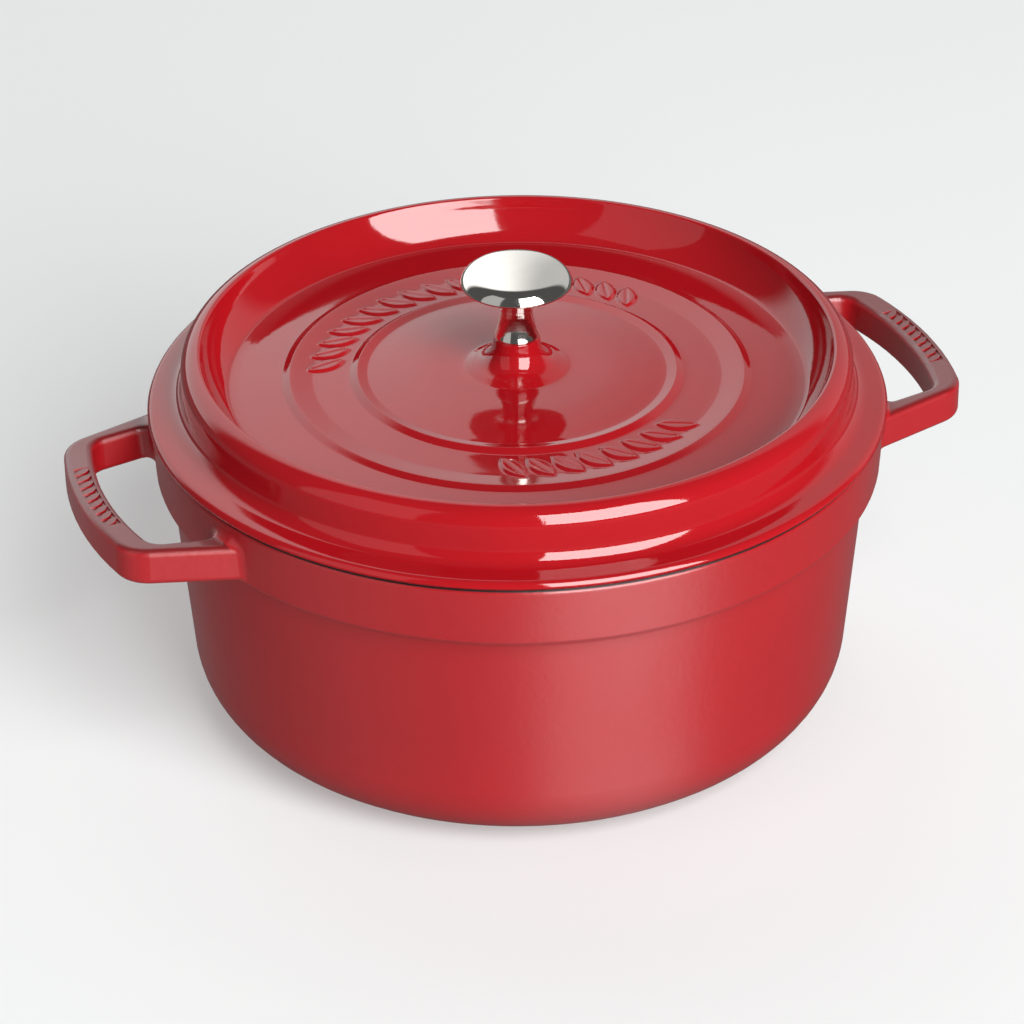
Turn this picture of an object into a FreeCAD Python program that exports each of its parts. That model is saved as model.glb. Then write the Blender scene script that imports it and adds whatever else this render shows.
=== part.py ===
import math
import os
import re

import FreeCAD
import Part
import Sketcher

# A round covered casserole dish: an enamelled cast-iron pot with two loop handles, a cast lid that
# rests on its rim, and a metal knob held to the lid by a screw from below.
# Millimetres. +Z up, the foot stands on z = 0, the pot's axis is Z and the two handles lie along X.

DOC = FreeCAD.newDocument("CoveredCasserole")

# ---------------------------------------------------------------- driving dimensions
SIZES = {
    # heights of the main levels above the ground
    "rim_top": 114.0,
    "lid_floor": 125.4,
    "lid_crest": 137.9,
    "boss_top": 138.9,
    # pot
    "rim_radius": 127.8,
    "collar_radius": 126.6,
    "collar_bottom": 93.2,
    "rim_bore": 118.6,
    "neck_radius": 121.9,
    "neck_height": 91.0,
    "base_corner": 114.5,
    "base_level": 1.4,
    "wall": 4.3,
    "floor_thickness": 5.6,
    "base_round": 26.0,
    "inner_round": 21.0,
    "inner_base_ease": 2.0,
    "rim_edge_round": 1.3,
    "rim_inner_round": 1.8,
    "collar_edge_round": 1.6,
    "neck_round": 3.0,
    "foot_radius": 92.0,
    "foot_width": 6.0,
    "foot_chamfer": 0.8,
    "foot_bite": 1.0,
    # loop handles
    "handle_top": 107.8,
    "handle_height": 13.4,
    "handle_root": 122.0,
    "handle_reach": 158.6,
    "bar_curve": 135.0,
    "bar_width": 9.6,
    "arm_root_half": 52.3,
    "arm_corner_reach": 153.2,
    "arm_corner_half": 39.2,
    "window_root": 123.5,
    "window_root_half": 41.2,
    "window_corner_reach": 143.8,
    "window_corner_half": 35.9,
    "outer_corner_round": 13.0,
    "inner_corner_round": 7.0,
    "handle_edge_round": 2.4,
    "root_round": 4.0,
    "panel_half_length": 20.0,
    "panel_margin": 0.9,
    "panel_depth": 0.7,
    "rib_length": 6.6,
    "rib_width": 2.6,
    "rib_step": 1.95,
    # lid
    "lid_radius": 128.6,
    "flange_top": 118.1,
    "flange_edge_round": 2.4,
    "flange_lower_round": 0.9,
    "cove_radius": 116.7,
    "cove_round": 4.7,
    "crest_outer": 116.5,
    "crest_shoulder": 134.4,
    "crest_shoulder_round": 4.9,
    "crest_inner": 111.8,
    "crest_round": 3.5,
    "dish_radius": 99.8,
    "dish_round": 3.2,
    "dish_floor": 122.9,
    "dish_edge": 123.8,
    "outer_ring": 79.0,
    "outer_ring_crest": 125.5,
    "inner_ring": 55.5,
    "inner_ring_crest": 126.3,
    "band_floor": 124.3,
    "ring_rise": 8.0,
    "ring_drop": 3.2,
    "ring_crest_round": 0.8,
    "ring_foot_round": 2.0,
    "boss_neck": 9.2,
    "boss_neck_height": 130.2,
    "boss_shoulder": 15.8,
    "boss_shoulder_height": 127.9,
    "boss_foot": 16.6,
    "boss_foot_round": 1.5,
    "boss_top_radius": 7.9,
    "boss_shoulder_round": 0.9,
    "boss_neck_round": 9.4,
    "screw_bore": 3.3,
    "lip_radius": 117.7,
    "lip_width": 4.1,
    "lip_depth": 4.0,
    "lip_round": 1.0,
    "under_disc": 120.9,
    "under_band": 118.9,
    "hollow_outer": 112.3,
    "hollow_inner": 109.2,
    "hollow_top": 128.0,
    "hollow_foot": 104.0,
    "hollow_round": 1.0,
    "spike_height": 3.6,
    "spike_radius": 3.1,
    "spike_taper": 22.0,
    "leaf_radius": 66.6,
    "leaf_length": 14.5,
    "leaf_width": 7.0,
    "leaf_slant": 55.0,
    "rib_slant": 55.0,
    "leaf_relief": 0.9,
    "leaf_edge_round": 0.4,
    "front_sprig_span": 62.0,
    "rear_sprig_span": 122.0,
    # knob
    "knob_radius": 19.4,
    "knob_height": 28.0,
    "knob_rim_height": 21.0,
    "knob_edge_height": 20.2,
    "knob_edge_radius": 18.7,
    "knob_dome_radius": 15.2,
    "knob_dome_height": 25.9,
    "knob_shoulder_curve": 6.4,
    "knob_rim_curve": 0.9,
    "knob_base_radius": 7.85,
    "knob_waist_radius": 5.5,
    "knob_waist_height": 11.0,
    "knob_flare_curve": 40.0,
    "knob_neck_height": 14.0,
    "knob_under_curve": 6.5,
    "knob_under_radius": 12.0,
    "knob_under_height": 19.6,
    "knob_bore": 3.0,
    "knob_bore_depth": 14.0,
    # screw and washers
    "screw_radius": 2.95,
    "screw_length": 31.0,
    "screw_head_radius": 5.3,
    "screw_head_height": 3.0,
    "screw_head_round": 1.6,
    "cross_length": 6.0,
    "cross_width": 1.1,
    "cross_depth": 1.7,
    "washer_radius": 8.0,
    "washer_bore": 3.15,
    "washer_thickness": 1.2,
    "lock_washer_radius": 5.0,
    "lock_washer_thickness": 1.4,
    "lock_washer_gap": 1.0,
}

HANDLE_SIDES = {"right": 0.0, "left": 180.0}
HANDLE_RIBS = 9
# underside spikes: ring radius, how many, and the level that they hang from
SPIKE_RINGS = (
    (30.0, 8, "under_disc"),
    (46.0, 12, "under_disc"),
    (70.0, 18, "under_band"),
    (90.0, 24, "under_band"),
)
FRONT_LEAVES = 9
REAR_LEAVES = 17
# bearings of the middles of the two sprigs, in degrees
FRONT_MIDDLE = -86.0
REAR_MIDDLE = 94.0
# how close two lengths are taken as the same, and how close an edge is to the corner it rounds
NEAR = 0.02
CORNER_NEAR = 0.5


def make_sheet():
    sheet = DOC.addObject("Spreadsheet::Sheet", "Sizes")
    for row, (alias, value) in enumerate(SIZES.items(), start=1):
        sheet.set("A%d" % row, alias)
        sheet.set("B%d" % row, repr(value))
        sheet.setAlias("B%d" % row, alias)
    DOC.recompute()
    return sheet


SHEET = make_sheet()


def named(expression):
    """Puts the sheet's name in front of every alias in an expression."""
    def with_sheet(word):
        return ("Sizes." if word.group() in SIZES else "") + word.group()

    return re.sub(r"[a-z_]+", with_sheet, expression)


def value_of(expression):
    result = SHEET.evalExpression(named(expression))
    return float(getattr(result, "Value", result))


def new_body(label):
    body = DOC.addObject("PartDesign::Body", label)
    body.Label = label
    return body


def origin_feature(body, role):
    return next(item for item in body.Origin.OriginFeatures if item.Role == role)


def new_sketch(body, name, plane, level=None, turn=0.0, shift=None):
    """A sketch on an origin plane, lifted to a level, turned about Z and shifted along its own X."""
    sketch = body.newObject("Sketcher::SketchObject", name)
    sketch.AttachmentSupport = [(origin_feature(body, plane), "")]
    sketch.MapMode = "FlatFace"
    spin = FreeCAD.Rotation(FreeCAD.Vector(0, 0, 1), turn)
    reach = value_of(shift) if shift else 0.0
    base = spin.multVec(FreeCAD.Vector(reach, 0, 0))
    sketch.AttachmentOffset = FreeCAD.Placement(base, spin)
    if level:
        sketch.setExpression("AttachmentOffset.Base.z", named(level))
    return sketch


def arc_between(start, end, radius, bulge_left):
    """The shorter arc of a circle from start to end that bulges to the left or right of the chord."""
    chord = end - start
    half = chord.Length / 2
    away = FreeCAD.Vector(-chord.y, chord.x, 0).normalize() * (1 if bulge_left else -1)
    sagitta = radius - math.sqrt(radius * radius - half * half)
    middle = (start + end) * 0.5 + away * sagitta
    return Part.Arc(start, middle, end)


def outline(sketch, corners, curves=None):
    """A closed outline. Each corner is a pair of expressions; curves maps a corner's number to the
    (radius expression, bulges left) of an arc that runs from it to the next corner."""
    curves = curves or {}
    points = [FreeCAD.Vector(value_of(x), value_of(y), 0) for x, y in corners]
    first = sketch.GeometryCount
    count = len(points)
    for index, start in enumerate(points):
        end = points[(index + 1) % count]
        if index in curves:
            radius, left = curves[index]
            sketch.addGeometry(arc_between(start, end, value_of(radius), left), False)
        else:
            sketch.addGeometry(Part.LineSegment(start, end), False)
    ends = [arc_ends(sketch, first + index, points[index]) for index in range(count)]
    for index in range(count):
        following = (index + 1) % count
        sketch.addConstraint(Sketcher.Constraint(
            "Coincident", first + index, ends[index][1], first + following, ends[following][0]))
    for index, (x, y) in enumerate(corners):
        place_corner(sketch, first + index, ends[index][0], points[index], x, y)
    for index, (radius, left) in curves.items():
        mark = sketch.addConstraint(Sketcher.Constraint("Radius", first + index, value_of(radius)))
        sketch.setExpression("Constraints[%d]" % mark, named(radius))


def arc_ends(sketch, geometry, start):
    """Which point numbers of a line or arc are its start and end on the outline."""
    if (sketch.getPoint(geometry, 1) - start).Length < NEAR:
        return 1, 2
    return 2, 1


def place_corner(sketch, geometry, end, point, x, y):
    for kind, coordinate, expression in (("DistanceX", point.x, x), ("DistanceY", point.y, y)):
        if abs(coordinate) < 1e-9:
            axis = -2 if kind == "DistanceX" else -1
            sketch.addConstraint(Sketcher.Constraint("PointOnObject", geometry, end, axis))
            continue
        mark = sketch.addConstraint(Sketcher.Constraint(kind, -1, 1, geometry, end, coordinate))
        sketch.setExpression("Constraints[%d]" % mark, named(expression))


def ring(sketch, radius):
    circle = Part.Circle(FreeCAD.Vector(0, 0, 0), FreeCAD.Vector(0, 0, 1), value_of(radius))
    mark = sketch.addGeometry(circle, False)
    sketch.addConstraint(Sketcher.Constraint("Coincident", mark, 3, -1, 1))
    size = sketch.addConstraint(Sketcher.Constraint("Radius", mark, value_of(radius)))
    sketch.setExpression("Constraints[%d]" % size, named(radius))


def revolve(body, name, corners, curves=None):
    sketch = new_sketch(body, name + "Outline", "XZ_Plane")
    outline(sketch, corners, curves)
    turned = body.newObject("PartDesign::Revolution", name)
    turned.Profile = sketch
    turned.ReferenceAxis = (sketch, ["V_Axis"])
    turned.Angle = 360.0
    sketch.Visibility = False
    DOC.recompute()
    return turned


def pad(body, name, sketch, length, downward=False, taper=None):
    feature = body.newObject("PartDesign::Pad", name)
    feature.Profile = sketch
    feature.Reversed = downward
    feature.setExpression("Length", named(length))
    if taper:
        feature.setExpression("TaperAngle", named(taper))
    sketch.Visibility = False
    DOC.recompute()
    return feature


def pocket(body, name, sketch, depth, upward=False):
    before = body.Shape.Volume
    feature = body.newObject("PartDesign::Pocket", name)
    feature.Profile = sketch
    feature.Reversed = upward
    feature.setExpression("Length", named(depth))
    sketch.Visibility = False
    DOC.recompute()
    if not body.Shape.Volume < before:
        raise RuntimeError(name + " cuts nothing")
    return feature


def polar(body, name, feature, axis, span, count):
    """Repeats a feature evenly over a span of degrees; a full turn leaves no doubled last one."""
    pattern = body.newObject("PartDesign::PolarPattern", name)
    pattern.Originals = [feature]
    pattern.Axis = axis
    pattern.Angle = span
    pattern.Occurrences = count
    body.Tip = pattern
    DOC.recompute()
    return pattern


def fillet(body, name, edges, radius):
    if not edges:
        raise RuntimeError(name + " found no edges")
    before = body.Tip
    rounded = body.newObject("PartDesign::Fillet", name)
    rounded.Base = (before, edges)
    rounded.setExpression("Radius", named(radius))
    DOC.recompute()
    return rounded


def round_edges(shape, places):
    """Names of the full circles about Z that lie at the given (radius, height) places."""
    wanted = [(value_of(radius), value_of(height)) for radius, height in places]
    found = []
    for number, edge in enumerate(shape.Edges, start=1):
        curve = edge.Curve
        if not isinstance(curve, Part.Circle) or abs(curve.Axis.z) < 0.99:
            continue
        if math.hypot(curve.Center.x, curve.Center.y) > NEAR:
            continue
        if any(abs(curve.Radius - r) < NEAR and abs(curve.Center.z - z) < NEAR for r, z in wanted):
            found.append("Edge%d" % number)
    return found


def fillet_rings(body, name, places, radius):
    return fillet(body, name, round_edges(body.Shape, places), radius)


def edges_where(shape, test):
    return ["Edge%d" % number for number, edge in enumerate(shape.Edges, start=1) if test(edge)]


# ---------------------------------------------------------------- pot
def make_pot():
    pot = new_body("pot")
    inner_top = "neck_radius - wall"
    inner_base = "base_corner - wall + inner_base_ease"
    inner_floor = "base_level + floor_thickness"
    corners = [
        ("0", "base_level"),
        ("base_corner", "base_level"),
        ("neck_radius", "neck_height"),
        ("collar_radius", "collar_bottom"),
        ("rim_radius", "rim_top"),
        ("rim_bore", "rim_top"),
        (inner_top, "neck_height"),
        (inner_base, inner_floor),
        ("0", inner_floor),
    ]
    revolve(pot, "PotCasting", corners)
    fillet_rings(pot, "NeckRound", [corners[2]], "neck_round")
    fillet_rings(pot, "CollarEdgeRound", [corners[3]], "collar_edge_round")
    for side, turn in HANDLE_SIDES.items():
        add_handle(pot, side.capitalize(), turn)
    for side, turn in HANDLE_SIDES.items():
        round_handle(pot, side.capitalize(), turn)
    fillet_rings(pot, "BaseRound", [corners[1]], "base_round")
    fillet_rings(pot, "InnerRound", [corners[7]], "inner_round")
    foot = "foot_radius - foot_width"
    revolve(pot, "FootRing", [
        (foot + " - foot_chamfer", "base_level + foot_bite"),
        (foot, "0"),
        ("foot_radius", "0"),
        ("foot_radius + foot_chamfer", "base_level + foot_bite"),
    ])
    fillet_rings(pot, "RimEdgeRound", [corners[4]], "rim_edge_round")
    fillet_rings(pot, "RimInnerRound", [corners[5]], "rim_inner_round")
    for side, turn in HANDLE_SIDES.items():
        add_handle_ornament(pot, side.capitalize(), turn)
    return pot


def add_handle(pot, side, turn):
    """One loop handle: two arms that lean together and a bowed grip bar."""
    sketch = new_sketch(pot, side + "HandleOutline", "XY_Plane", "handle_top - handle_height", turn)
    root_reach = "sqrt( handle_root * handle_root - arm_root_half * arm_root_half )"
    outline(sketch, [
        (root_reach, "-1 * arm_root_half"),
        ("arm_corner_reach", "-1 * arm_corner_half"),
        ("arm_corner_reach", "arm_corner_half"),
        (root_reach, "arm_root_half"),
    ], {1: ("bar_curve", False), 3: ("handle_root", True)})
    window_reach = "sqrt( window_root * window_root - window_root_half * window_root_half )"
    outline(sketch, [
        (window_reach, "-1 * window_root_half"),
        ("window_corner_reach", "-1 * window_corner_half"),
        ("window_corner_reach", "window_corner_half"),
        (window_reach, "window_root_half"),
    ], {1: ("bar_curve - bar_width", False), 3: ("window_root", True)})
    pad(pot, side + "Handle", sketch, "handle_height")


def round_handle(pot, side, turn):
    """Rounds the loop's corners, its roots on the collar and its upper and lower edges."""
    spin = FreeCAD.Rotation(FreeCAD.Vector(0, 0, 1), -turn)

    def upright_at(reach, half):
        def test(edge):
            middle = spin.multVec(edge.CenterOfMass)
            upright = abs(edge.BoundBox.ZLength - value_of("handle_height")) < NEAR
            beside = abs(middle.x - value_of(reach)) < CORNER_NEAR
            return upright and beside and abs(abs(middle.y) - value_of(half)) < CORNER_NEAR
        return test

    outer_corners = edges_where(pot.Shape, upright_at("arm_corner_reach", "arm_corner_half"))
    fillet(pot, side + "OuterCorners", outer_corners, "outer_corner_round")
    inner_corners = edges_where(pot.Shape, upright_at("window_corner_reach", "window_corner_half"))
    fillet(pot, side + "InnerCorners", inner_corners, "inner_corner_round")

    def on_rims(edge):
        box = edge.BoundBox
        middle = spin.multVec(edge.CenterOfMass)
        flat = box.ZLength < NEAR
        level = min(abs(box.ZMin - value_of("handle_top")),
                    abs(box.ZMin - value_of("handle_top - handle_height")))
        span = math.hypot(middle.x, middle.y)
        return flat and level < NEAR and middle.x > 0 and span > value_of("rim_radius")

    fillet(pot, side + "HandleEdges", edges_where(pot.Shape, on_rims), "handle_edge_round")

    def joins_collar(edge):
        """True for the edges where the arms grow out of the collar's slightly tapered wall."""
        points = edge.discretize(5)
        taper = value_of("( rim_radius - collar_radius ) / ( rim_top - collar_bottom )")
        for point in points:
            span = math.hypot(point.x, point.y)
            wall = value_of("collar_radius") + taper * (point.z - value_of("collar_bottom"))
            if abs(span - wall) > NEAR or spin.multVec(point).x < 0:
                return False
        low = value_of("handle_top - handle_height")
        return low - NEAR < edge.BoundBox.ZMin and edge.BoundBox.ZMax < value_of("handle_top") + NEAR

    fillet(pot, side + "Roots", edges_where(pot.Shape, joins_collar), "root_round")


def add_handle_ornament(pot, side, turn):
    """A shallow panel in the top of the grip bar with a row of slanted leaf-shaped ribs."""
    outer = "handle_reach - panel_margin - handle_edge_round / 2"
    inner = "handle_reach - bar_width + panel_margin + handle_edge_round / 2"
    end_shift = "panel_half_length * panel_half_length / ( 2 * bar_curve )"
    sketch = new_sketch(pot, side + "PanelOutline", "XY_Plane", "handle_top", turn)
    outline(sketch, [
        (outer + " - " + end_shift, "-1 * panel_half_length"),
        (outer + " - " + end_shift, "panel_half_length"),
        (inner + " - " + end_shift, "panel_half_length"),
        (inner + " - " + end_shift, "-1 * panel_half_length"),
    ], {0: ("bar_curve", False), 2: ("bar_curve - bar_width", True)})
    pocket(pot, side + "Panel", sketch, "panel_depth")
    first = math.radians(-value_of("rib_step") * (HANDLE_RIBS - 1) / 2)
    rib = new_sketch(pot, side + "RibOutline", "XY_Plane", "handle_top - panel_depth", turn,
                     "handle_reach - bar_curve")
    middle = value_of("bar_curve - bar_width / 2")
    leaf_outline(rib, middle, first, "rib_slant", "rib_length", "rib_width")
    raised = pad(pot, side + "Rib", rib, "panel_depth")
    polar(pot, side + "Ribs", raised, (rib, ["N_Axis"]),
          value_of("rib_step") * (HANDLE_RIBS - 1), HANDLE_RIBS)


def leaf_outline(sketch, radius, bearing, slant, length, width):
    """A pointed leaf: two equal arcs on a chord, its middle at a radius and bearing about the origin."""
    middle = FreeCAD.Vector(radius * math.cos(bearing), radius * math.sin(bearing), 0)
    lie = bearing + math.pi / 2 - math.radians(value_of(slant))
    along = FreeCAD.Vector(math.cos(lie), math.sin(lie), 0)
    across = FreeCAD.Vector(-along.y, along.x, 0)
    tip = middle + along * (value_of(length) / 2)
    tail = middle - along * (value_of(length) / 2)
    bulge = across * (value_of(width) / 2)
    one = sketch.addGeometry(Part.Arc(tail, middle + bulge, tip), False)
    two = sketch.addGeometry(Part.Arc(tip, middle - bulge, tail), False)
    one_ends = arc_ends(sketch, one, tail)
    two_ends = arc_ends(sketch, two, tip)
    sketch.addConstraint(Sketcher.Constraint("Coincident", one, one_ends[1], two, two_ends[0]))
    sketch.addConstraint(Sketcher.Constraint("Coincident", two, two_ends[1], one, one_ends[0]))
    span = sketch.addConstraint(Sketcher.Constraint(
        "Distance", one, one_ends[0], one, one_ends[1], value_of(length)))
    sketch.setExpression("Constraints[%d]" % span, named(length))


# ---------------------------------------------------------------- lid
def make_lid():
    lid = new_body("lid")
    top = [
        ("screw_bore", "boss_top"),
        ("boss_top_radius", "boss_top"),
        ("boss_neck", "boss_neck_height"),
        ("boss_shoulder", "boss_shoulder_height"),
        ("boss_foot", "lid_floor"),
        ("inner_ring - ring_rise", "lid_floor"),
        ("inner_ring", "inner_ring_crest"),
        ("inner_ring + ring_drop", "band_floor"),
        ("outer_ring - ring_rise", "band_floor"),
        ("outer_ring", "outer_ring_crest"),
        ("outer_ring + ring_drop", "dish_edge"),
        ("dish_radius", "dish_floor"),
        ("crest_inner", "lid_crest"),
        ("crest_outer", "crest_shoulder"),
        ("cove_radius", "flange_top"),
        ("lid_radius", "flange_top"),
    ]
    under = [
        ("lid_radius", "rim_top"),
        ("lip_radius", "rim_top"),
        ("lip_radius", "rim_top - lip_depth"),
        ("lip_radius - lip_width", "rim_top - lip_depth"),
        ("hollow_outer", "hollow_top"),
        ("hollow_inner", "hollow_top"),
        ("hollow_foot", "under_band"),
        ("inner_ring + ring_drop", "under_band"),
        ("inner_ring", "under_disc"),
        ("screw_bore", "under_disc"),
    ]
    revolve(lid, "LidCasting", top + under)
    fillet_rings(lid, "CrestRound", [top[12]], "crest_round")
    fillet_rings(lid, "CrestShoulderRound", [top[13]], "crest_shoulder_round")
    fillet_rings(lid, "CoveRound", [top[14]], "cove_round")
    fillet_rings(lid, "FlangeRound", [top[15]], "flange_edge_round")
    fillet_rings(lid, "FlangeLowerRound", [under[0]], "flange_lower_round")
    fillet_rings(lid, "DishRound", [top[11]], "dish_round")
    fillet_rings(lid, "RingFootRounds", [top[5], top[7], top[8], top[10]], "ring_foot_round")
    fillet_rings(lid, "RingCrestRounds", [top[6], top[9]], "ring_crest_round")
    fillet_rings(lid, "BossShoulderRound", [top[3]], "boss_shoulder_round")
    fillet_rings(lid, "BossFootRound", [top[4]], "boss_foot_round")
    fillet_rings(lid, "BossNeckRound", [top[2]], "boss_neck_round")
    fillet_rings(lid, "LipRounds", [under[2], under[3]], "lip_round")
    fillet_rings(lid, "HollowRounds", [under[4], under[5]], "hollow_round")
    add_spikes(lid)
    add_sprig(lid, "Front", FRONT_MIDDLE, "front_sprig_span", FRONT_LEAVES)
    add_sprig(lid, "Rear", REAR_MIDDLE, "rear_sprig_span", REAR_LEAVES)
    return lid


def add_spikes(lid):
    """Rings of blunt spikes under the lid, from which condensed steam drips back."""
    for number, (radius, count, level) in enumerate(SPIKE_RINGS, start=1):
        sketch = new_sketch(lid, "SpikeOutline%d" % number, "XY_Plane", level)
        circle = sketch.addGeometry(Part.Circle(
            FreeCAD.Vector(radius, 0, 0), FreeCAD.Vector(0, 0, 1), value_of("spike_radius")), False)
        sketch.addConstraint(Sketcher.Constraint("PointOnObject", circle, 3, -1))
        sketch.addConstraint(Sketcher.Constraint("DistanceX", -1, 1, circle, 3, radius))
        size = sketch.addConstraint(Sketcher.Constraint("Radius", circle, value_of("spike_radius")))
        sketch.setExpression("Constraints[%d]" % size, named("spike_radius"))
        spike = pad(lid, "Spike%d" % number, sketch, "spike_height", True, "-1 * spike_taper")
        polar(lid, "SpikeRing%d" % number, spike, (sketch, ["N_Axis"]), 360.0, count)


def add_sprig(lid, name, middle_bearing, span, leaves):
    """Low leaves laid end to end along an arc between the lid's two rings."""
    start = math.radians(middle_bearing - value_of(span) / 2)
    sketch = new_sketch(lid, name + "LeafOutline", "XY_Plane", "band_floor - leaf_edge_round")
    leaf_outline(sketch, value_of("leaf_radius"), start, "leaf_slant", "leaf_length", "leaf_width")
    leaf = pad(lid, name + "Leaf", sketch, "leaf_relief + leaf_edge_round")
    polar(lid, name + "Sprig", leaf, (sketch, ["N_Axis"]), value_of(span), leaves)


# ---------------------------------------------------------------- knob and its fastening
def make_knob():
    knob = new_body("knob")
    base = "boss_top"
    rise = "( knob_height - knob_dome_height )"
    dome_curve = "( knob_dome_radius * knob_dome_radius + %s * %s ) / ( 2 * %s )" % (rise, rise, rise)
    revolve(knob, "KnobTurned", [
        ("0", base + " + knob_bore_depth"),
        ("knob_bore", base + " + knob_bore_depth"),
        ("knob_bore", base),
        ("knob_base_radius", base),
        ("knob_waist_radius", base + " + knob_waist_height"),
        ("knob_waist_radius", base + " + knob_neck_height"),
        ("knob_under_radius", base + " + knob_under_height"),
        ("knob_edge_radius", base + " + knob_edge_height"),
        ("knob_radius", base + " + knob_rim_height"),
        ("knob_dome_radius", base + " + knob_dome_height"),
        ("0", base + " + knob_height"),
    ], {
        3: ("knob_flare_curve", True),
        5: ("knob_under_curve", True),
        7: ("knob_rim_curve", False),
        8: ("knob_shoulder_curve", False),
        9: (dome_curve, False),
    })
    return knob


def make_screw():
    screw = new_body("knob_screw")
    seat = "under_disc - washer_thickness - lock_washer_thickness"
    revolve(screw, "ScrewTurned", [
        ("0", seat + " - screw_head_height"),
        ("screw_head_radius", seat + " - screw_head_height"),
        ("screw_head_radius", seat),
        ("screw_radius", seat),
        ("screw_radius", seat + " + screw_length"),
        ("0", seat + " + screw_length"),
    ])
    head_rim = ("screw_head_radius", seat + " - screw_head_height")
    fillet_rings(screw, "HeadRound", [head_rim], "screw_head_round")
    for name, turn in (("One", 0.0), ("Two", 90.0)):
        slot = new_sketch(screw, "Slot%s" % name, "XY_Plane", seat + " - screw_head_height", turn)
        outline(slot, [
            ("cross_length / -2", "cross_width / -2"),
            ("cross_length / 2", "cross_width / -2"),
            ("cross_length / 2", "cross_width / 2"),
            ("cross_length / -2", "cross_width / 2"),
        ])
        pocket(screw, "Cross%s" % name, slot, "cross_depth", True)
    return screw


def make_washer(label, level, radius, thickness):
    washer = new_body(label)
    sketch = new_sketch(washer, label + "_outline", "XY_Plane", level)
    ring(sketch, radius)
    ring(sketch, "washer_bore")
    pad(washer, label + "_disc", sketch, thickness)
    return washer


def make_lock_washer():
    """A split spring washer: a thick ring with one narrow cut."""
    level = "under_disc - washer_thickness - lock_washer_thickness"
    washer = make_washer("lock_washer", level, "lock_washer_radius", "lock_washer_thickness")
    split = new_sketch(washer, "split_outline", "XY_Plane", level + " + lock_washer_thickness")
    outline(split, [
        ("washer_bore / 2", "lock_washer_gap / -2"),
        ("lock_washer_radius + lock_washer_gap", "lock_washer_gap / -2"),
        ("lock_washer_radius + lock_washer_gap", "lock_washer_gap / 2"),
        ("washer_bore / 2", "lock_washer_gap / 2"),
    ])
    pocket(washer, "split", split, "lock_washer_thickness")
    return washer


def check_and_write(bodies):
    for item in DOC.Objects:
        if "Invalid" in item.State or "Error" in item.State:
            raise RuntimeError("%s failed: %s" % (item.Name, item.State))
    for body in bodies:
        if body.Shape.isNull() or not body.Shape.isValid() or len(body.Shape.Solids) != 1:
            raise RuntimeError(body.Label + " is not one valid solid")
    os.makedirs("parts", exist_ok=True)
    for body in bodies:
        body.Shape.exportStep("parts/%s.step" % body.Label)
        box = body.Shape.BoundBox
        print("%-12s volume %9.0f mm3, x %.1f..%.1f, z %.2f..%.2f" % (
            body.Label, body.Shape.Volume, box.XMin, box.XMax, box.ZMin, box.ZMax))


parts = [
    make_pot(),
    make_lid(),
    make_knob(),
    make_screw(),
    make_washer("flat_washer", "under_disc - washer_thickness", "washer_radius", "washer_thickness"),
    make_lock_washer(),
]
DOC.recompute()
check_and_write(parts)
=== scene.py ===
"""A round covered casserole dish in red enamelled cast iron, with a turned metal knob.

Lengths are millimetres where a name or comment says mm, and metres wherever Blender takes them.
"""

import math

import bmesh
import bpy
from mathutils import Matrix, Vector


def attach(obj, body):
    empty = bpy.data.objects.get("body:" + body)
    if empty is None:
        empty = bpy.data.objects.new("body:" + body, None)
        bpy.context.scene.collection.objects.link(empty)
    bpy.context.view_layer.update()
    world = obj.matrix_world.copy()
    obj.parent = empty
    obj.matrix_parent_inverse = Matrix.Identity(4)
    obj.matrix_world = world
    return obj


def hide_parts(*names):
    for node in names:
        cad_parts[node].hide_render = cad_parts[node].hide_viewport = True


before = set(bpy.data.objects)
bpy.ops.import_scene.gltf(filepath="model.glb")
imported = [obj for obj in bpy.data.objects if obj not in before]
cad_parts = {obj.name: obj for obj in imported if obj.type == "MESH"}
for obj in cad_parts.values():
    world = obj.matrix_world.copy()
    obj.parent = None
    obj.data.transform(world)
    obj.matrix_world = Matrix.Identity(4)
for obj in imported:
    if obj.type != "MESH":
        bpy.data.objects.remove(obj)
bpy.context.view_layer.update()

MM = 0.001
DEGREE = math.pi / 180
TINY = 1e-4  # mm, under which two points are one

# ---------------------------------------------------------------- sizes in mm
RIM_TOP = 114.0
BOSS_TOP = 138.9
LIP_RADIUS = 117.7
HOLLOW_TOP = 128.0
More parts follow.
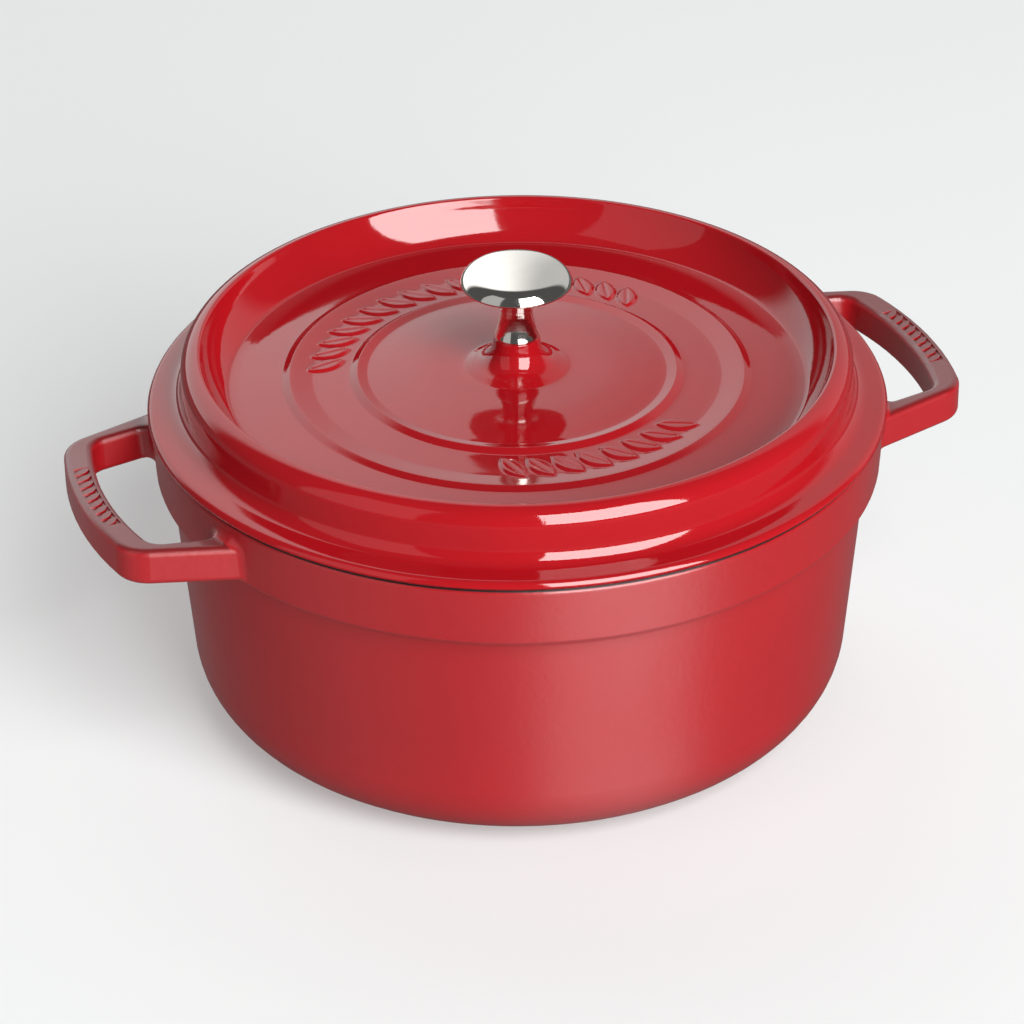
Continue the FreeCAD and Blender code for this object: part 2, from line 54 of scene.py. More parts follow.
# outlines are corners of (radius, height above the ground, rounding of the corner)
LID_DISH_OUTLINE = (
    (3.3, BOSS_TOP, 0.0),
    (7.9, BOSS_TOP, 0.5),
    (9.2, 130.4, 8.5),
    (15.4, 128.6, 1.6),
    (18.2, 127.5, 4.0),
    (34.0, 127.2, 140.0),
    (45.0, 126.3, 120.0),
    (52.0, 125.5, 1.2),
    (55.5, 126.3, 0.6),
    (58.1, 124.8, 1.5),
    (71.0, 124.3, 3.0),
    (79.0, 125.5, 0.6),
    (81.6, 124.2, 1.5),
    (97.0, 122.9, 3.0),
)
DISH_FLOOR = 122.9
DISH_ROUND = 3.0
INNER_WALL_CENTRE = (85.24, 142.55)
INNER_WALL_RADIUS = 25.0
CREST_EDGE = 1.2
CREST_CENTRE = (109.5, 130.0)
CREST_RADIUS = 7.0
LID_FLANGE_OUTLINE = (
    (116.5, 130.0, 0.0),
    (116.9, 119.0, 5.6),
    (128.6, 117.6, 2.5),
    (128.6, 114.9, 0.9),
    (124.6, 114.9, 0.0),
    (124.2, RIM_TOP, 0.0),
    (LIP_RADIUS, RIM_TOP, 0.0),
    (LIP_RADIUS, 110.0, 1.0),
    (113.6, 110.0, 1.0),
    (112.3, HOLLOW_TOP, 1.2),
    (109.2, HOLLOW_TOP, 1.2),
    (104.0, 118.9, 0.0),
    (58.7, 118.9, 0.0),
    (55.5, 120.9, 0.0),
    (3.3, 120.9, 0.0),
)
LID_RUN = 2.4
LID_SEGMENTS = 340
# where the lid's red stops: below the flange, and below its disc out to the hollow under the crest
FLANGE_BARE = 115.0
UNDERSIDE_LEVEL = 122.0
HOLLOW_INNER = 104.0
HOLLOW_OUTER = 114.0
HOLLOW_OUTER_WALL = 110.0
# where the pot's red stops: inside its bore, above its floor, and on its bare rim
POT_BORE = 121.0
POT_FLOOR_MIDDLE = 4.0
POT_BARE_RIM = 113.7
HANDLE_START = 130.0  # outside this radius there are only the handles
# knob, with heights above the boss it stands on
KNOB_BASE = (7.85, 0.02)
KNOB_WAIST = (5.5, 11.0)
KNOB_FLARE_RADIUS = 40.0
KNOB_NECK_HEIGHT = 14.0
KNOB_UNDER = (12.0, 19.6)
KNOB_UNDER_RADIUS = 6.5
KNOB_RIM_CENTRE = (13.5, 19.5)
KNOB_RIM_RADIUS = 6.1
KNOB_RIM_START = 13.0  # degrees, as are the next two
KNOB_RIM_END = 75.0
KNOB_DOME_STEP = 0.6
KNOB_LIP_INSET = 0.9
KNOB_LIP_RISE = 0.5
KNOB_LIP_ROUND = 0.4
KNOB_RUN = 1.0
KNOB_SEGMENTS = 160
# leaf sprigs on the band between the lid's two rings
BAND_INNER = 58.0
BAND_OUTER = 75.0
BAND_FLOOR = 124.3
SPRIG_RADIUS = 66.6
SPRIGS = ((-84.0, 56.0, 8), (94.0, 122.0, 17))  # bearing of the middle and span in degrees, leaves
LEAF_LENGTH = 14.5
LEAF_WIDTH = 7.0
LEAF_SLANT = 55.0  # degrees
LEAF_RELIEF = 0.9
LEAF_FOOT = 0.5  # how far outside its outline a leaf starts to rise
LEAF_SHOULDER = -0.9  # how far inside it is at full height
LEAF_CUTS = 3
LEAF_CUT_MARGIN = 2.0
VEIN_DEPTH = 0.35  # as a share of the relief
VEIN_WIDTH = 0.45
VEIN_START = -0.4  # how far inside the outline the vein's groove starts, and is full
VEIN_FULL = -1.2
# rings of spikes under the lid: radius, how many, level they hang from
SPIKE_RINGS = (
    (30.0, 8, 120.9),
    (46.0, 12, 120.9),
    (70.0, 18, 118.9),
    (90.0, 24, 118.9),
)
SPIKE_OUTLINE = (
    (0.0, 0.8, 0.0),
    (4.2, 0.8, 0.0),
    (4.2, 0.0, 0.0),
    (2.9, -0.35, 1.2),
    (1.7, -3.6, 1.2),
    (0.0, -3.6, 0.0),
)
SPIKE_SEGMENTS = 16


# ---------------------------------------------------------------- making meshes
def rounded(corners, step=10.0):
    """A polyline through corners of (radius, height, rounding), each corner an arc of short chords.
    step is the most that a chord turns, in degrees."""
    points = []
    last = len(corners) - 1
    for index, (r, z, rounding) in enumerate(corners):
        here = Vector((r, z))
        if rounding <= 0 or index in (0, last):
            points.append(here)
            continue
        before = Vector(corners[index - 1][:2]) - here
        after = Vector(corners[index + 1][:2]) - here
        before.normalize()
        after.normalize()
        opening = before.angle(after)
        reach = rounding / math.tan(opening / 2)
        centre = here + (before + after).normalized() * (rounding / math.sin(opening / 2))
        start = here + before * reach - centre
        turn = math.pi - opening
        if start.x * before.y - start.y * before.x > 0:
            turn = -turn
        chords = max(2, math.ceil(abs(turn) / DEGREE / step))
        for number in range(chords + 1):
            angle = turn * number / chords
            spun = Vector((
                start.x * math.cos(angle) - start.y * math.sin(angle),
                start.x * math.sin(angle) + start.y * math.cos(angle),
            ))
            points.append(centre + spun)
    return points


def arc(centre, radius, start, end, step=4.0):
    """Points on a circle about centre, between two bearings in degrees, both ends included."""
    chords = max(2, math.ceil(abs(end - start) / step))
    points = []
    for number in range(chords + 1):
        bearing = (start + (end - start) * number / chords) * DEGREE
        points.append(Vector((
            centre[0] + radius * math.cos(bearing),
            centre[1] + radius * math.sin(bearing),
        )))
    return points


def arc_through(start, end, radius):
    """The shorter arc from start to end that bulges to the left of the way between them."""
    start = Vector(start)
    end = Vector(end)
    half = (end - start).length / 2
    away = Vector((start.y - end.y, end.x - start.x)).normalized()
    centre = (start + end) / 2 - away * math.sqrt(radius * radius - half * half)
    spread = 2 * math.asin(half / radius) / DEGREE
    first = bearing_of(start - centre)
    return arc(centre, radius, first, first - spread)


def bearing_of(vector):
    return math.atan2(vector.y, vector.x) / DEGREE


def tangent_centre(one, one_reach, two, two_reach):
    """The point at given distances from two others, on the left of the way from one to two."""
    one = Vector(one)
    between = Vector(two) - one
    gap = between.length
    along = (one_reach ** 2 - two_reach ** 2 + gap ** 2) / (2 * gap)
    off = math.sqrt(one_reach ** 2 - along ** 2)
    between.normalize()
    return one + between * along + Vector((-between.y, between.x)) * off


def with_runs(points, longest, closed):
    """The same polyline with its long straight runs cut into equal steps and doubled points left out."""
    result = []
    pairs = zip(points, points[1:] + points[:1]) if closed else zip(points, points[1:])
    for start, end in pairs:
        if (end - start).length < TINY:
            continue
        cuts = max(1, math.ceil((end - start).length / longest))
        result += [start.lerp(end, number / cuts) for number in range(cuts)]
    if not closed:
        result.append(points[-1])
    return result


def turned(points, segments, closed):
    """A mesh made by turning an outline about the Z axis. Points on the axis become one vertex."""
    bm = bmesh.new()
    rings = []
    for point in points:
        if point.x < TINY:
            rings.append([bm.verts.new((0, 0, point.y * MM))])
            continue
        rings.append([
            bm.verts.new((
                point.x * MM * math.cos(2 * math.pi * number / segments),
                point.x * MM * math.sin(2 * math.pi * number / segments),
                point.y * MM,
            ))
            for number in range(segments)
        ])
    pairs = list(zip(rings, rings[1:]))
    if closed:
        pairs.append((rings[-1], rings[0]))
    for one, two in pairs:
        for number in range(segments):
            following = (number + 1) % segments
            corners = [one[number % len(one)], one[following % len(one)],
                       two[following % len(two)], two[number % len(two)]]
            face = list(dict.fromkeys(corners))
            if len(face) > 2:
                bm.faces.new(face)
    return bm


def add_piece(name, bm, materials, body, node):
    """Turns a bmesh into a smooth-shaded piece that rides on a body and stands for a CAD node."""
    bmesh.ops.recalc_face_normals(bm, faces=bm.faces)
    for face in bm.faces:
        face.smooth = True
    mesh = bpy.data.meshes.new(name)
    bm.to_mesh(mesh)
    bm.free()
    for material in materials:
        mesh.materials.append(material)
    piece = bpy.data.objects.new(name, mesh)
    bpy.context.scene.collection.objects.link(piece)
    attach(piece, body)
    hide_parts(node)


# ---------------------------------------------------------------- shader helpers
# a Mix node has its colour sockets under these numbers
MIX_COLOUR_ONE = 6
MIX_COLOUR_TWO = 7
MIX_COLOUR_RESULT = 2


def new_group(name, inputs, outputs):
    """An empty shader group. Inputs and outputs are (name, kind, default)."""
    group = bpy.data.node_groups.new(name, "ShaderNodeTree")
    for direction, sockets in (("INPUT", inputs), ("OUTPUT", outputs)):
        for label, kind, default in sockets:
            socket = group.interface.new_socket(label, in_out=direction, socket_type="NodeSocket" + kind)
            if default is not None:
                socket.default_value = default
    return group, group.nodes.new("NodeGroupInput"), group.nodes.new("NodeGroupOutput")


def add_node(tree, kind, links=None, **settings):
    """Adds a node. settings are its own properties; links maps an input to a socket or a plain value."""
    node = tree.nodes.new(kind)
    for key, value in settings.items():
        setattr(node, key, value)
    for key, value in (links or {}).items():
        if isinstance(value, bpy.types.NodeSocket):
            tree.links.new(value, node.inputs[key])
        else:
            node.inputs[key].default_value = value
    return node


def noise(tree, vector, scale, detail):
    """Noise between 0 and 1; scale is in features per metre."""
    node = add_node(tree, "ShaderNodeTexNoise", {"Vector": vector, "Scale": scale, "Detail": detail})
    return node.outputs["Fac"]


def calculate(tree, operation, one, two):
    return add_node(tree, "ShaderNodeMath", {0: one, 1: two}, operation=operation).outputs[0]


def vector_node(tree, operation, *values):
    return add_node(tree, "ShaderNodeVectorMath", dict(enumerate(values)), operation=operation)


def blend_colour(tree, amount, one, two):
    return add_node(tree, "ShaderNodeMix", {
        "Factor": amount, MIX_COLOUR_ONE: one, MIX_COLOUR_TWO: two},
        data_type="RGBA").outputs[MIX_COLOUR_RESULT]


def ease(tree, value, low, high, to_low=0.0, to_high=1.0):
    """Takes a value from the range low to high over to another range, softly at both ends."""
    node = add_node(tree, "ShaderNodeMapRange", {
        "Value": value, "From Min": low, "From Max": high, "To Min": to_low, "To Max": to_high},
        interpolation_type="SMOOTHSTEP")
    return node.outputs[0]


# features per metre of the glaze's and the metals' patterns
WAVE_SCALE = 70.0
PEEL_SCALE = 420.0
GRIT_SCALE = 1500.0
CLOUD_SCALE = 16.0
PIT_SCALE = 95.0
STEEL_CLOUD_SCALE = 260.0
STEEL_GRAIN_SCALE = 1800.0
HAZE_SCALE = 160.0
LATHE_SCALE = 60.0
LATHE_SQUEEZE = 60.0
# shares of the glaze's height and colour
GRIT_HEIGHT = 0.05
PIT_HEIGHT = 0.12
POOLING = 0.35
GLAZE_DEPTH = 0.1 * MM
METAL_DEPTH = 0.05 * MM


def make_glaze_group():
    """Fired enamel: slow waves, fine orange peel, pin-sized pits, and colour that pools and thins."""
    group, given, out = new_group("FiredGlaze", [
        ("Colour", "Color", (0.5, 0.01, 0.012, 1)),
        ("Deep Colour", "Color", (0.3, 0.004, 0.006, 1)),
        ("Waves", "Float", 1.0),
        ("Peel", "Float", 1.0),
        ("Roughness", "Float", 0.1),
    ], [
        ("Colour", "Color", None),
        ("Height", "Float", None),
        ("Roughness", "Float", None),
    ])
    place = add_node(group, "ShaderNodeTexCoord").outputs["Object"]
    waves = noise(group, place, WAVE_SCALE, 1.0)
    peel = noise(group, place, PEEL_SCALE, 2.0)
    grit = noise(group, place, GRIT_SCALE, 1.0)
    clouds = noise(group, place, CLOUD_SCALE, 3.0)
    pits = add_node(group, "ShaderNodeTexVoronoi", {"Vector": place, "Scale": PIT_SCALE})
    pit = ease(group, pits.outputs["Distance"], 0.03, 0.07)
    slow = calculate(group, "MULTIPLY", waves, given.outputs["Waves"])
    fine = calculate(group, "MULTIPLY", peel, given.outputs["Peel"])
    finest = calculate(group, "MULTIPLY", grit, GRIT_HEIGHT)
    height = calculate(group, "ADD", calculate(group, "ADD", slow, fine), finest)
    height = calculate(group, "ADD", height, calculate(group, "MULTIPLY", pit, PIT_HEIGHT))
    pooled = ease(group, clouds, 0.3, 0.75, 0.0, POOLING)
    colour = blend_colour(group, pooled, given.outputs["Colour"], given.outputs["Deep Colour"])
    uneven = ease(group, clouds, 0.35, 0.7, -0.02, 0.03)
    rough = calculate(group, "ADD", given.outputs["Roughness"], uneven)
    group.links.new(colour, out.inputs["Colour"])
    group.links.new(height, out.inputs["Height"])
    group.links.new(rough, out.inputs["Roughness"])
    return group


def new_material(name):
    material = bpy.data.materials.new(name)
    material.use_nodes = True
    tree = material.node_tree
    return material, tree, tree.nodes["Principled BSDF"]


def set_up(shader, **values):
    for key, value in values.items():
        shader.inputs[key.replace("_", " ")].default_value = value


def add_glaze(tree, shader, group, bump, **values):
    """Places the glaze group and wires it to the shader."""
    node = add_node(tree, "ShaderNodeGroup", node_tree=group)
    for key, value in values.items():
        node.inputs[key.replace("_", " ")].default_value = value
    relief = add_node(tree, "ShaderNodeBump", {
        "Height": node.outputs["Height"], "Strength": bump, "Distance": GLAZE_DEPTH})
    tree.links.new(node.outputs["Roughness"], shader.inputs["Roughness"])
    tree.links.new(relief.outputs["Normal"], shader.inputs["Normal"])
    return node


def finish_metal(tree, shader, tint, rough, relief, strength):
    """Wires a metal's colour, roughness and fine relief to its shader."""
    bump = add_node(tree, "ShaderNodeBump", {
        "Height": relief, "Strength": strength, "Distance": METAL_DEPTH})
    tree.links.new(tint, shader.inputs["Base Color"])
    tree.links.new(rough, shader.inputs["Roughness"])
    tree.links.new(bump.outputs["Normal"], shader.inputs["Normal"])
    set_up(shader, Metallic=1.0)


# ---------------------------------------------------------------- finishes
RED = (0.345, 0.0050, 0.0088, 1)
DEEP_RED = (0.275, 0.0040, 0.0070, 1)
# painted shade: a darker red that stands in for the dim light falling on the handles' tops
SHADED_TOP_RED = (0.11, 0.0045, 0.0055, 1)
BLACK = (0.012, 0.012, 0.013, 1)
GREY_BLACK = (0.020, 0.019, 0.018, 1)
POLISHED_DARK = (0.80, 0.775, 0.72, 1)
POLISHED_BRIGHT = (0.87, 0.85, 0.80, 1)
SCREW_STEEL = (0.62, 0.63, 0.64, 1)
WASHER_STEEL = (0.56, 0.57, 0.58, 1)
SPRING_STEEL = (0.34, 0.33, 0.32, 1)
STEEL_DULLING = 0.72
BLACK_ROUGHNESS = 0.5
COAT_WEIGHT = 0.45
HANDLE_TOP_SHADE = 0.8  # how far the handles' up-facing tops go over to the darker red, painted shade for the dim light they get from above
INWARD_LIMIT = 0.25  # a face turned outward by less than this counts as inside


def lid_enamel(name, group):
    """Thick glassy red with a slow wave in it."""
    material, tree, shader = new_material(name)
    node = add_glaze(tree, shader, group, bump=0.35, Colour=RED, Deep_Colour=DEEP_RED,
                     Waves=1.0, Peel=0.35, Roughness=0.07)
    tree.links.new(node.outputs["Colour"], shader.inputs["Base Color"])
    set_up(shader, IOR=1.65)
    return material


def pot_masks(tree):
    """One mask for the pot's inner wall, floor and bare rim, and one of painted shade for the tops of
    its handles.
    """
    place = add_node(tree, "ShaderNodeTexCoord")
    flat = vector_node(tree, "MULTIPLY", place.outputs["Object"], (1.0, 1.0, 0.0)).outputs["Vector"]
    radius = vector_node(tree, "LENGTH", flat).outputs["Value"]
    away = vector_node(tree, "NORMALIZE", flat).outputs["Vector"]
    facing = vector_node(tree, "DOT_PRODUCT", place.outputs["Normal"], away).outputs["Value"]
    height = add_node(tree, "ShaderNodeSeparateXYZ", {0: place.outputs["Object"]}).outputs["Z"]
    within = calculate(tree, "LESS_THAN", radius, POT_BORE * MM)
    inward = calculate(tree, "LESS_THAN", facing, INWARD_LIMIT)
    above = calculate(tree, "GREATER_THAN", height, POT_FLOOR_MIDDLE * MM)
    rim = calculate(tree, "GREATER_THAN", height, POT_BARE_RIM * MM)
    inside = calculate(tree, "MULTIPLY", calculate(tree, "MULTIPLY", within, inward), above)
    facing_up = add_node(tree, "ShaderNodeSeparateXYZ", {0: place.outputs["Normal"]}).outputs["Z"]
    # painted shade mask: faces beyond the body that turn upward, the handles' tops, which are darkened
    # as if shaded from above
    beyond = calculate(tree, "GREATER_THAN", radius, HANDLE_START * MM)
    shaded_handle_top = calculate(tree, "MULTIPLY", beyond, ease(tree, facing_up, 0.3, 0.9))
    return calculate(tree, "MAXIMUM", inside, rim), shaded_handle_top


def pot_enamel(name, group):
    """Red outside, with painted shade darkening its handles' tops, and a soft upright sheen under a thin
    glassy coat; matte black inside.
    """
    material, tree, shader = new_material(name)
    node = add_glaze(tree, shader, group, bump=0.6, Colour=RED, Deep_Colour=DEEP_RED,
                     Waves=1.0, Peel=1.0, Roughness=0.42)
    inside, shaded_handle_top = pot_masks(tree)
    # painted shade: the handles' tops go over to the darker red, as if the light from above were dim
    top_shade = calculate(tree, "MULTIPLY", shaded_handle_top, HANDLE_TOP_SHADE)
    red = blend_colour(tree, top_shade, node.outputs["Colour"], SHADED_TOP_RED)
    colour = blend_colour(tree, inside, red, GREY_BLACK)
    rough = add_node(tree, "ShaderNodeMix", {
        "Factor": inside, "A": node.outputs["Roughness"], "B": BLACK_ROUGHNESS}).outputs["Result"]
    coat = ease(tree, inside, 0.0, 1.0, COAT_WEIGHT, 0.0)
    tree.links.new(colour, shader.inputs["Base Color"])
    tree.links.new(rough, shader.inputs["Roughness"])
    tree.links.new(coat, shader.inputs["Coat Weight"])
    tangent = add_node(tree, "ShaderNodeTangent", direction_type="RADIAL", axis="Z")
    tree.links.new(tangent.outputs["Tangent"], shader.inputs["Tangent"])
    set_up(shader, IOR=1.75, Anisotropic=0.9, Anisotropic_Rotation=0.25)
    set_up(shader, Coat_Roughness=0.09, Coat_IOR=1.55)
    return material


def black_enamel(name, group):
    """Matte black, fine-grained, for the lid's underside."""
    material, tree, shader = new_material(name)
    node = add_glaze(tree, shader, group, bump=0.8, Colour=BLACK, Deep_Colour=GREY_BLACK,
                     Waves=0.3, Peel=1.0, Roughness=0.42)
    tree.links.new(node.outputs["Colour"], shader.inputs["Base Color"])
    return material


def fastener_steel(name, colour, rough):
    """Plated fastener steel: a dull shine with cloudy patches and fine grain."""
    material, tree, shader = new_material(name)
    place = add_node(tree, "ShaderNodeTexCoord").outputs["Object"]
    clouds = noise(tree, place, STEEL_CLOUD_SCALE, 4.0)
    grain = noise(tree, place, STEEL_GRAIN_SCALE, 2.0)
    dull = tuple(channel * STEEL_DULLING for channel in colour[:3]) + (1,)
    tint = blend_colour(tree, clouds, dull, colour)
    uneven = ease(tree, clouds, 0.3, 0.7, rough, rough + 0.12)
    finish_metal(tree, shader, tint, uneven, grain, 0.15)
    return material


def knob_metal(name):
    """Bright nickel-like plate with faint lathe rings and a little haze on the dome."""
    material, tree, shader = new_material(name)
    place = add_node(tree, "ShaderNodeTexCoord").outputs["Object"]
    haze = noise(tree, place, HAZE_SCALE, 3.0)
    squeezed = add_node(tree, "ShaderNodeMapping", {"Vector": place, "Scale": (1.0, 1.0, LATHE_SQUEEZE)})
    rings = noise(tree, squeezed.outputs["Vector"], LATHE_SCALE, 2.0)
    tint = blend_colour(tree, haze, POLISHED_DARK, POLISHED_BRIGHT)
    rough = ease(tree, haze, 0.3, 0.7, 0.06, 0.10)
    finish_metal(tree, shader, tint, rough, rings, 0.05)
    return material


# ---------------------------------------------------------------- pieces
def leaf_distance(x, y, bearing):
    """How far a point lies outside one leaf of a sprig, negative inside, and how far off its vein."""
    lie = bearing + math.pi / 2 - LEAF_SLANT * DEGREE
    dx = x - SPRIG_RADIUS * math.cos(bearing)
    dy = y - SPRIG_RADIUS * math.sin(bearing)
    along = dx * math.cos(lie) + dy * math.sin(lie)
    across = -dx * math.sin(lie) + dy * math.cos(lie)
    sagitta = LEAF_WIDTH / 2
    curve = (LEAF_LENGTH ** 2 / 4 + sagitta ** 2) / (2 * sagitta)
    outside = math.hypot(along, abs(across) + curve - sagitta) - curve
    return outside, across


def leaf_bearings():
    for middle, spread, leaves in SPRIGS:
        for number in range(leaves):
            yield (middle - spread / 2 + spread * number / (leaves - 1)) * DEGREE


def smooth_step(low, high, value):
    t = min(1.0, max(0.0, (value - low) / (high - low)))
    return t * t * (3 - 2 * t)


def raise_sprigs(bm):
    """Cuts the band between the lid's rings finer near the leaves and lifts them out of it."""
    bearings = list(leaf_bearings())

    def on_band(place):
        radius = math.hypot(place.x, place.y) / MM
        return BAND_INNER < radius < BAND_OUTER and place.z / MM > BAND_FLOOR - 1

    def near_leaf(face):
        centre = face.calc_center_median()
        return on_band(centre) and any(
            leaf_distance(centre.x / MM, centre.y / MM, bearing)[0] < LEAF_CUT_MARGIN
            for bearing in bearings)

    edges = list({edge for face in bm.faces if near_leaf(face) for edge in face.edges})
    bmesh.ops.subdivide_edges(bm, edges=edges, cuts=LEAF_CUTS, use_grid_fill=True)
    for vertex in bm.verts:
        if not on_band(vertex.co):
            continue
        lift = 0.0
        for bearing in bearings:
            outside, across = leaf_distance(vertex.co.x / MM, vertex.co.y / MM, bearing)
            if outside < LEAF_FOOT:
                height = smooth_step(LEAF_FOOT, LEAF_SHOULDER, outside)
                groove = VEIN_DEPTH * math.exp(-(across / VEIN_WIDTH) ** 2)
                vein = groove * smooth_step(VEIN_START, VEIN_FULL, outside)
                lift = max(lift, height - vein)
        vertex.co.z += lift * LEAF_RELIEF * MM


def add_spike(bm, x, y, level):
    """A blunt closed spike under the lid, flared where it meets the casting."""
    spike = turned(rounded(SPIKE_OUTLINE, step=30.0), SPIKE_SEGMENTS, False)
    spare = bpy.data.meshes.new("spike")
    spike.to_mesh(spare)
    spike.free()
    first = len(bm.verts)
    bm.from_mesh(spare)
    bpy.data.meshes.remove(spare)
    bm.verts.ensure_lookup_table()
    for vertex in bm.verts[first:]:
        vertex.co += Vector((x, y, level)) * MM


def crest_outline():
    """From the dish's floor up its hollowed wall, over a crisp inner edge and down the crest's round."""
    wall = Vector(INNER_WALL_CENTRE)
    crest = Vector(CREST_CENTRE)
    foot_height = DISH_FLOOR + DISH_ROUND
    reach = INNER_WALL_RADIUS - DISH_ROUND
    foot = Vector((wall.x + math.sqrt(reach ** 2 - (wall.y - foot_height) ** 2), foot_height))
    edge = tangent_centre(wall, INNER_WALL_RADIUS + CREST_EDGE, crest, CREST_RADIUS - CREST_EDGE)
    foot_bearing = bearing_of(foot - wall)
    edge_bearing = bearing_of(edge - wall)
    crest_bearing = bearing_of(edge - crest)
    return (arc(foot, DISH_ROUND, -90.0, foot_bearing, 6.0)
            + arc(wall, INNER_WALL_RADIUS, foot_bearing, edge_bearing)
            + arc(edge, CREST_EDGE, edge_bearing + 180.0, crest_bearing, 12.0)
            + arc(crest, CREST_RADIUS, crest_bearing, 0.0))


def is_under_lid(face):
    """True for the lid's lower faces, which are black."""
    centre = face.calc_center_median()
    radius = math.hypot(centre.x, centre.y) / MM
    height = centre.z / MM
    outward = (face.normal.x * centre.x + face.normal.y * centre.y) * MM
    on_flange = height < FLANGE_BARE and face.normal.z < -0.5
    on_lip = height < RIM_TOP and radius < LIP_RADIUS + 0.1
    on_disc = height < UNDERSIDE_LEVEL and radius < HOLLOW_INNER
    in_hollow = HOLLOW_INNER < radius < HOLLOW_OUTER and height < HOLLOW_TOP + 0.1
    hollow_roof = in_hollow and face.normal.z < -0.1
    hollow_wall = in_hollow and outward < 0 and radius > HOLLOW_OUTER_WALL
    return on_flange or on_lip or on_disc or hollow_roof or hollow_wall


def make_lid(red, black):
    """The casting, its sprigs and its spikes, black wherever it faces down."""
    outline = rounded(LID_DISH_OUTLINE) + crest_outline() + rounded(LID_FLANGE_OUTLINE)
    bm = turned(with_runs(outline, LID_RUN, True), LID_SEGMENTS, True)
    raise_sprigs(bm)
    for radius, count, level in SPIKE_RINGS:
        for number in range(count):
            bearing = 2 * math.pi * number / count
            add_spike(bm, radius * math.cos(bearing), radius * math.sin(bearing), level)
    bmesh.ops.recalc_face_normals(bm, faces=bm.faces)
    for face in bm.faces:
        if is_under_lid(face):
            face.material_index = 1
    add_piece("lid_casting", bm, (red, black), "lid", "lid")


def make_knob(metal):
    """A waisted stem that spreads into a round-rimmed cap with a low domed top."""
    rim = arc(KNOB_RIM_CENTRE, KNOB_RIM_RADIUS, KNOB_RIM_START, KNOB_RIM_END)
    dome_rise = (90.0 - KNOB_RIM_END) * DEGREE
    dome_radius = rim[-1].x / math.sin(dome_rise)
    dome_centre = (0.0, rim[-1].y - dome_radius * math.cos(dome_rise))
    lip = (rim[0].x - KNOB_LIP_INSET, KNOB_UNDER[1] + KNOB_LIP_RISE, KNOB_LIP_ROUND)
    outline = [Vector((0.0, KNOB_BASE[1]))]
    outline += arc_through(KNOB_BASE, KNOB_WAIST, KNOB_FLARE_RADIUS)
    outline += arc_through((KNOB_WAIST[0], KNOB_NECK_HEIGHT), KNOB_UNDER, KNOB_UNDER_RADIUS)
    outline += rounded(((*KNOB_UNDER, 0.0), lip, (*rim[0], 0.0)))[1:]
    outline += rim[1:]
    outline += arc(dome_centre, dome_radius, KNOB_RIM_END, 90.0, KNOB_DOME_STEP)[1:]
    outline[-1].x = 0.0
    lifted = [point + Vector((0.0, BOSS_TOP)) for point in with_runs(outline, KNOB_RUN, False)]
    bm = turned(lifted, KNOB_SEGMENTS, False)
    add_piece("knob_turning", bm, (metal,), "knob_set", "knob")


# ---------------------------------------------------------------- studio
CAMERA_TARGET = Vector((0.0, 0.0, 67.58)) * MM
CAMERA_DISTANCE = 1488.49 * MM
CAMERA_BEARING = -20.6  # degrees, as are the next three
CAMERA_ELEVATION = 31.026
CAMERA_PAN = 0.103
CAMERA_ROLL = -0.640
CAMERA_LENS = 147.66
CAMERA_CLIP = (0.05, 60.0)  # metres
# brightness of the dark room and of the pale sweep behind the dish
ROOM_DARK = 0.08
SWEEP_LEFT = 1.3
SWEEP_RIGHT = 0.5
# where the sweep changes, each a (start, end) of a direction's share along back, up and right
SWEEP_EDGE = (0.35, 0.55)
SWEEP_TOP = (0.925, 0.985)
SWEEP_FADE = (-0.15, 0.2)
BACKDROP = (0.86, 0.87, 0.87, 1)
FLOOR_COLOUR = (0.565, 0.58, 0.58, 1)
FLOOR_MIRRORED = (0.07, 0.07, 0.07, 1)
FLOOR_GLOW = 0.265
FLOOR_GLOW_MIRRORED = 0.07
FLOOR_RADIUS = 30.0  # metres
FLOOR_SEGMENTS = 96


def make_camera():
    camera = bpy.data.objects.new("camera", bpy.data.cameras.new("camera"))
    bpy.context.scene.collection.objects.link(camera)
    camera.data.lens = CAMERA_LENS
    bearing = CAMERA_BEARING * DEGREE
    elevation = CAMERA_ELEVATION * DEGREE
    back = Vector((
        math.sin(bearing) * math.cos(elevation),
        -math.cos(bearing) * math.cos(elevation),
        math.sin(elevation),
    ))
    turn = (Matrix.Rotation(bearing + CAMERA_PAN * DEGREE, 4, "Z")
            @ Matrix.Rotation(math.pi / 2 - elevation, 4, "X")
            @ Matrix.Rotation(CAMERA_ROLL * DEGREE, 4, "Z"))
    camera.matrix_world = Matrix.Translation(CAMERA_TARGET + back * CAMERA_DISTANCE) @ turn
    camera.data.clip_start, camera.data.clip_end = CAMERA_CLIP
    bpy.context.scene.camera = camera


def make_softbox(name, bearing, distance, width, low, high, radiance):
    """An upright rectangular softbox. The bearing is measured from the camera's, to its right."""
    light = bpy.data.lights.new(name, "AREA")
    light.shape = "RECTANGLE"
    light.size = width
    light.size_y = high - low
    light.energy = radiance * math.pi * width * (high - low)
    lamp = bpy.data.objects.new(name, light)
    bpy.context.scene.collection.objects.link(lamp)
    around = (CAMERA_BEARING + bearing) * DEGREE
    away = Vector((math.sin(around), -math.cos(around), 0.0))
    lamp.location = away * distance + Vector((0, 0, (low + high) / 2))
    lamp.rotation_mode = "QUATERNION"
    lamp.rotation_quaternion = away.to_track_quat("Z", "Y")
    lamp.visible_camera = False


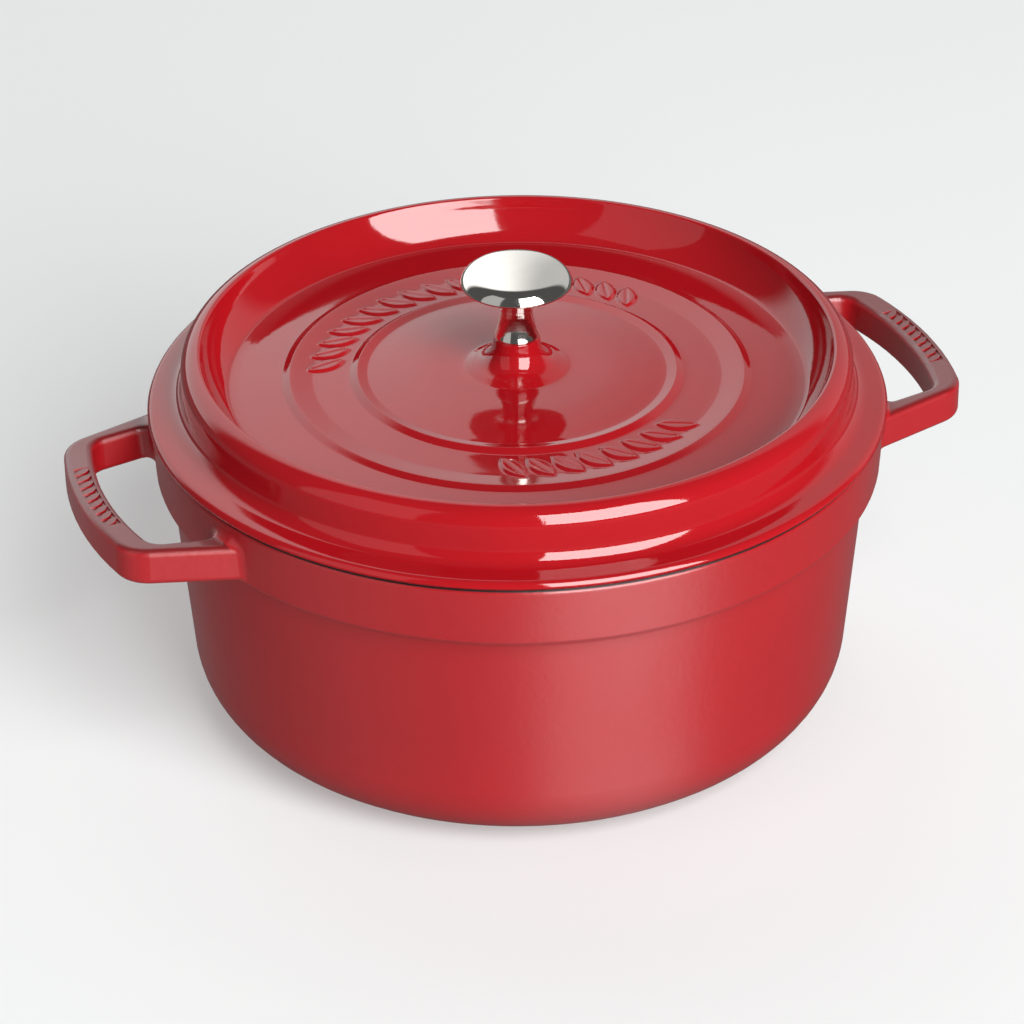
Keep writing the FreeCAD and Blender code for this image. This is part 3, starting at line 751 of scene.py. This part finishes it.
def make_room():
    """The studio's own light: a pale sweep behind the dish, brighter to its left, and dark elsewhere."""
    world = bpy.data.worlds.new("studio")
    bpy.context.scene.world = world
    world.use_nodes = True
    tree = world.node_tree
    surface = tree.nodes["Background"]
    direction = add_node(tree, "ShaderNodeTexCoord").outputs["Generated"]
    around = CAMERA_BEARING * DEGREE

    def share_along(axis):
        return vector_node(tree, "DOT_PRODUCT", direction, axis).outputs["Value"]

    behind = share_along((-math.sin(around), math.cos(around), 0.0))
    right = share_along((math.cos(around), math.sin(around), 0.0))
    up = share_along((0.0, 0.0, 1.0))
    low_enough = ease(tree, up, *SWEEP_TOP, 1.0, 0.0)
    facing = ease(tree, behind, *SWEEP_EDGE)
    sweep = ease(tree, right, *SWEEP_FADE, SWEEP_LEFT, SWEEP_RIGHT)
    pale = calculate(tree, "MULTIPLY", calculate(tree, "MULTIPLY", facing, low_enough), sweep)
    level = calculate(tree, "ADD", pale, ROOM_DARK)
    sees = add_node(tree, "ShaderNodeLightPath").outputs["Is Camera Ray"]
    lit = add_node(tree, "ShaderNodeCombineColor", {0: level, 1: level, 2: level}).outputs["Color"]
    colour = blend_colour(tree, sees, lit, BACKDROP)
    tree.links.new(colour, surface.inputs["Color"])
    surface.inputs["Strength"].default_value = 1.0


def make_floor():
    """A wide pale floor with some glow of its own; mirror-like rays find it darker."""
    bm = bmesh.new()
    bmesh.ops.create_circle(bm, cap_ends=True, radius=FLOOR_RADIUS, segments=FLOOR_SEGMENTS)
    mesh = bpy.data.meshes.new("floor")
    bm.to_mesh(mesh)
    bm.free()
    floor = bpy.data.objects.new("floor", mesh)
    bpy.context.scene.collection.objects.link(floor)
    material, tree, shader = new_material("pale_floor")
    mirrored = add_node(tree, "ShaderNodeLightPath").outputs["Is Glossy Ray"]
    colour = blend_colour(tree, mirrored, FLOOR_COLOUR, FLOOR_MIRRORED)
    tree.links.new(colour, shader.inputs["Base Color"])
    glow = ease(tree, mirrored, 0.0, 1.0, FLOOR_GLOW, FLOOR_GLOW_MIRRORED)
    tree.links.new(glow, shader.inputs["Emission Strength"])
    set_up(shader, Roughness=0.9, Specular_IOR_Level=0.1, Emission_Color=(1.0, 1.0, 0.995, 1))
    mesh.materials.append(material)


# ---------------------------------------------------------------- putting it together
bpy.context.scene.view_settings.view_transform = "Standard"
glaze = make_glaze_group()
lid_red = lid_enamel("red_enamel_lid", glaze)
pot_red = pot_enamel("red_enamel_pot", glaze)
inside_black = black_enamel("black_enamel_inside", glaze)
plated = knob_metal("polished_knob_metal")
screw_steel = fastener_steel("zinc_screw_steel", SCREW_STEEL, 0.25)
washer_steel = fastener_steel("zinc_washer_steel", WASHER_STEEL, 0.34)
spring_steel = fastener_steel("dark_spring_steel", SPRING_STEEL, 0.30)

make_camera()
make_room()
make_floor()
make_softbox("key_softbox", bearing=31.0, distance=3.2, width=2.7, low=0.45, high=5.3, radiance=9.0)
make_softbox("fill_card", bearing=-52.0, distance=3.2, width=2.3, low=0.0, high=5.3, radiance=0.4)

make_lid(lid_red, inside_black)
make_knob(plated)
kept_nodes = {
    "pot": pot_red,
    "knob_screw": screw_steel,
    "flat_washer": washer_steel,
    "lock_washer": spring_steel,
}
for node_name, material in kept_nodes.items():
    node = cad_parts[node_name]
    node.data.materials.clear()
    node.data.materials.append(material)
